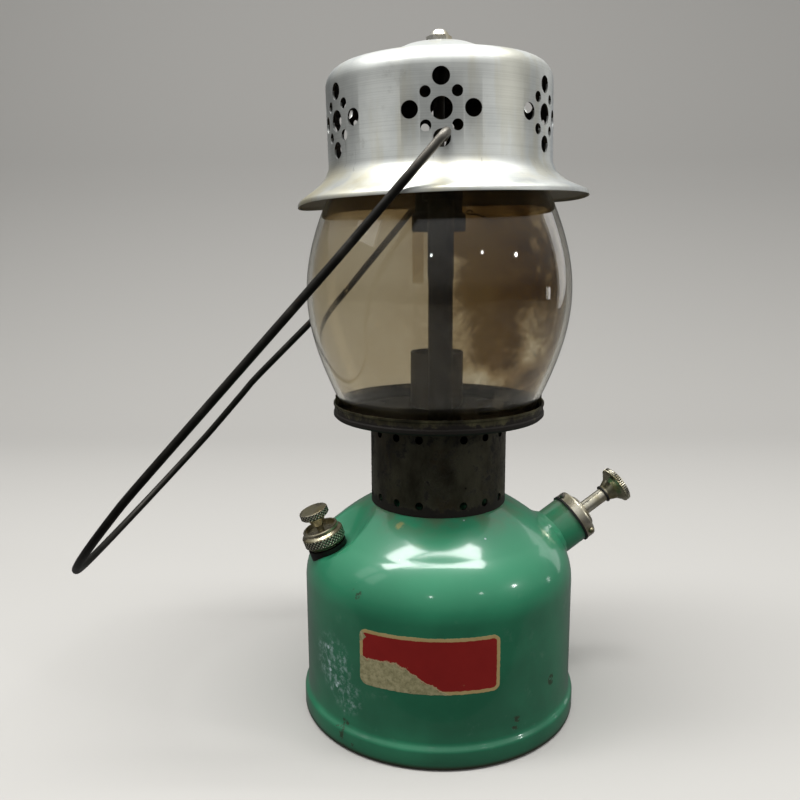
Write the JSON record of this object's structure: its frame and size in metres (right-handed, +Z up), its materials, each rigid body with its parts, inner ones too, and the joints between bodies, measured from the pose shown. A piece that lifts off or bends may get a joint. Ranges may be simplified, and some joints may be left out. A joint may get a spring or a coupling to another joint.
{
  "type": "pressure lantern",
  "caption": "Green liquid-fuel camping lantern with a glass globe, a pierced ventilator, a hand pump, a filler cap and a wire bail.",
  "frame": {"origin": "centre of the circle that the fount stands on", "axes": "+Z up, pump towards +X, control knob towards +Y, front towards -Y"},
  "size_m": [0.2725, 0.1412, 0.3103],
  "materials": {
    "green_enamel": "gloss enamel, chipped",
    "bare_steel": "dull",
    "sooty_steel": "soot and heat stains",
    "nickel": "worn nickel plate",
    "brass": "tarnished",
    "black_rubber": "matt",
    "leather": "oiled",
    "black_plastic": "satin",
    "glass": "clear, hazed by soot",
    "aluminium": "spun, worn",
    "dark_wire": "dark, worn bright at its end"
  },
  "bodies": {
    "lantern": {"fount_shell": "green_enamel", "fount_bottom": "green_enamel", "filler_boss": "brass", "pump_tube": "green_enamel", "pump_ring": "black_rubber", "pump_cap": "nickel", "pump_cap_screws": "nickel", "check_valve": "brass", "air_stem": "brass", "valve_bung": "brass", "fuel_tube": "brass", "valve_body": "brass", "packing_nut": "brass", "collar": "sooty_steel", "globe_rest": "sooty_steel", "heat_shield": "sooty_steel", "jam_nut": "brass", "generator": "brass", "generator_tip": "brass", "air_tube": "sooty_steel", "burner_casting": "sooty_steel", "burner_cap": "sooty_steel", "burner_screen": "sooty_steel", "vent_stud": "bare_steel"},
    "filler_lift": {"filler_gasket": "black_rubber"},
    "filler_turn": {"filler_cap": "nickel"},
    "bleed": {"bleed_screw": "nickel"},
    "pump_stroke": {"pump_cup": "leather"},
    "plunger": {"plunger_rod": "nickel", "knob_washer": "black_rubber", "pump_knob": "nickel"},
    "control": {"valve_stem": "bare_steel", "control_knob": "black_plastic", "knob_screw": "nickel"},
    "lever": {"cleaning_lever": "bare_steel"},
    "needle": {"cleaning_needle": "bare_steel"},
    "chimney": {"ventilator": "aluminium"},
    "crown_nut": {"vent_nut": "nickel"},
    "handle": {"bail": "dark_wire"},
    "glass_globe": {"globe": "glass"}
  },
  "joints": [
    {"name": "filler_cap_lift", "type": "slide", "parent": "lantern", "child": "filler_lift", "axis": [-0.3297, -0.0908, 0.9397], "range_m": [0, 0.0055]},
    {"name": "filler_cap_turn", "type": "hinge", "parent": "filler_lift", "child": "filler_turn", "pos_m": [-0.05245, -0.01445, 0.0832], "axis": [-0.3297, -0.0908, 0.9397], "range_deg": [0, 1260]},
    {"name": "bleed_screw_turn", "type": "hinge", "parent": "filler_turn", "child": "bleed", "pos_m": [-0.05716, -0.01574, 0.09664], "axis": [-0.3297, -0.0908, 0.9397], "range_deg": [-540, 180]},
    {"name": "pump_slide", "type": "slide", "parent": "lantern", "child": "pump_stroke", "axis": [0.8176, 0.2252, 0.5299], "range_m": [-0.0128, 0.042]},
    {"name": "plunger_turn", "type": "hinge", "parent": "pump_stroke", "child": "plunger", "pos_m": [0.08477, 0.02335, 0.0941], "axis": [0.8176, 0.2252, 0.5299], "range_deg": [-360, 360]},
    {"name": "control_turn", "type": "hinge", "parent": "lantern", "child": "control", "pos_m": [0, 0.0466, 0.118], "axis": [0, 1, 0], "range_deg": [0, 540]},
    {"name": "lever_turn", "type": "hinge", "parent": "lantern", "child": "lever", "pos_m": [-0.013, 0.0315, 0.118], "axis": [0, 1, 0], "range_deg": [0, 90]},
    {"name": "needle_slide", "type": "slide", "parent": "lantern", "child": "needle", "axis": [0, 0, 1], "range_m": [0, 0.003]},
    {"name": "ventilator_lift", "type": "slide", "parent": "lantern", "child": "chimney", "axis": [0, 0, 1], "range_m": [0, 0.08]},
    {"name": "globe_lift", "type": "slide", "parent": "lantern", "child": "glass_globe", "axis": [0, 0, 1], "range_m": [0, 0.04]},
    {"name": "crown_nut_turn", "type": "hinge", "parent": "chimney", "child": "crown_nut", "pos_m": [0, 0, 0.3066], "axis": [0, 0, 1], "continuous": true},
    {"name": "bail_swing", "type": "hinge", "parent": "chimney", "child": "handle", "pos_m": [0, 0, 0.2599], "axis": [0, 1, 0], "range_deg": [0, 276.8]}
  ],
  "couplings": [
    {"joint": "filler_cap_turn", "follows": "filler_cap_lift", "rad_per_m": 3957.9},
    {"joint": "lever_turn", "follows": "needle_slide", "rad_per_m": 523.5},
    {"joint": "globe_lift", "follows": "ventilator_lift", "ratio": 0.5}
  ]
}
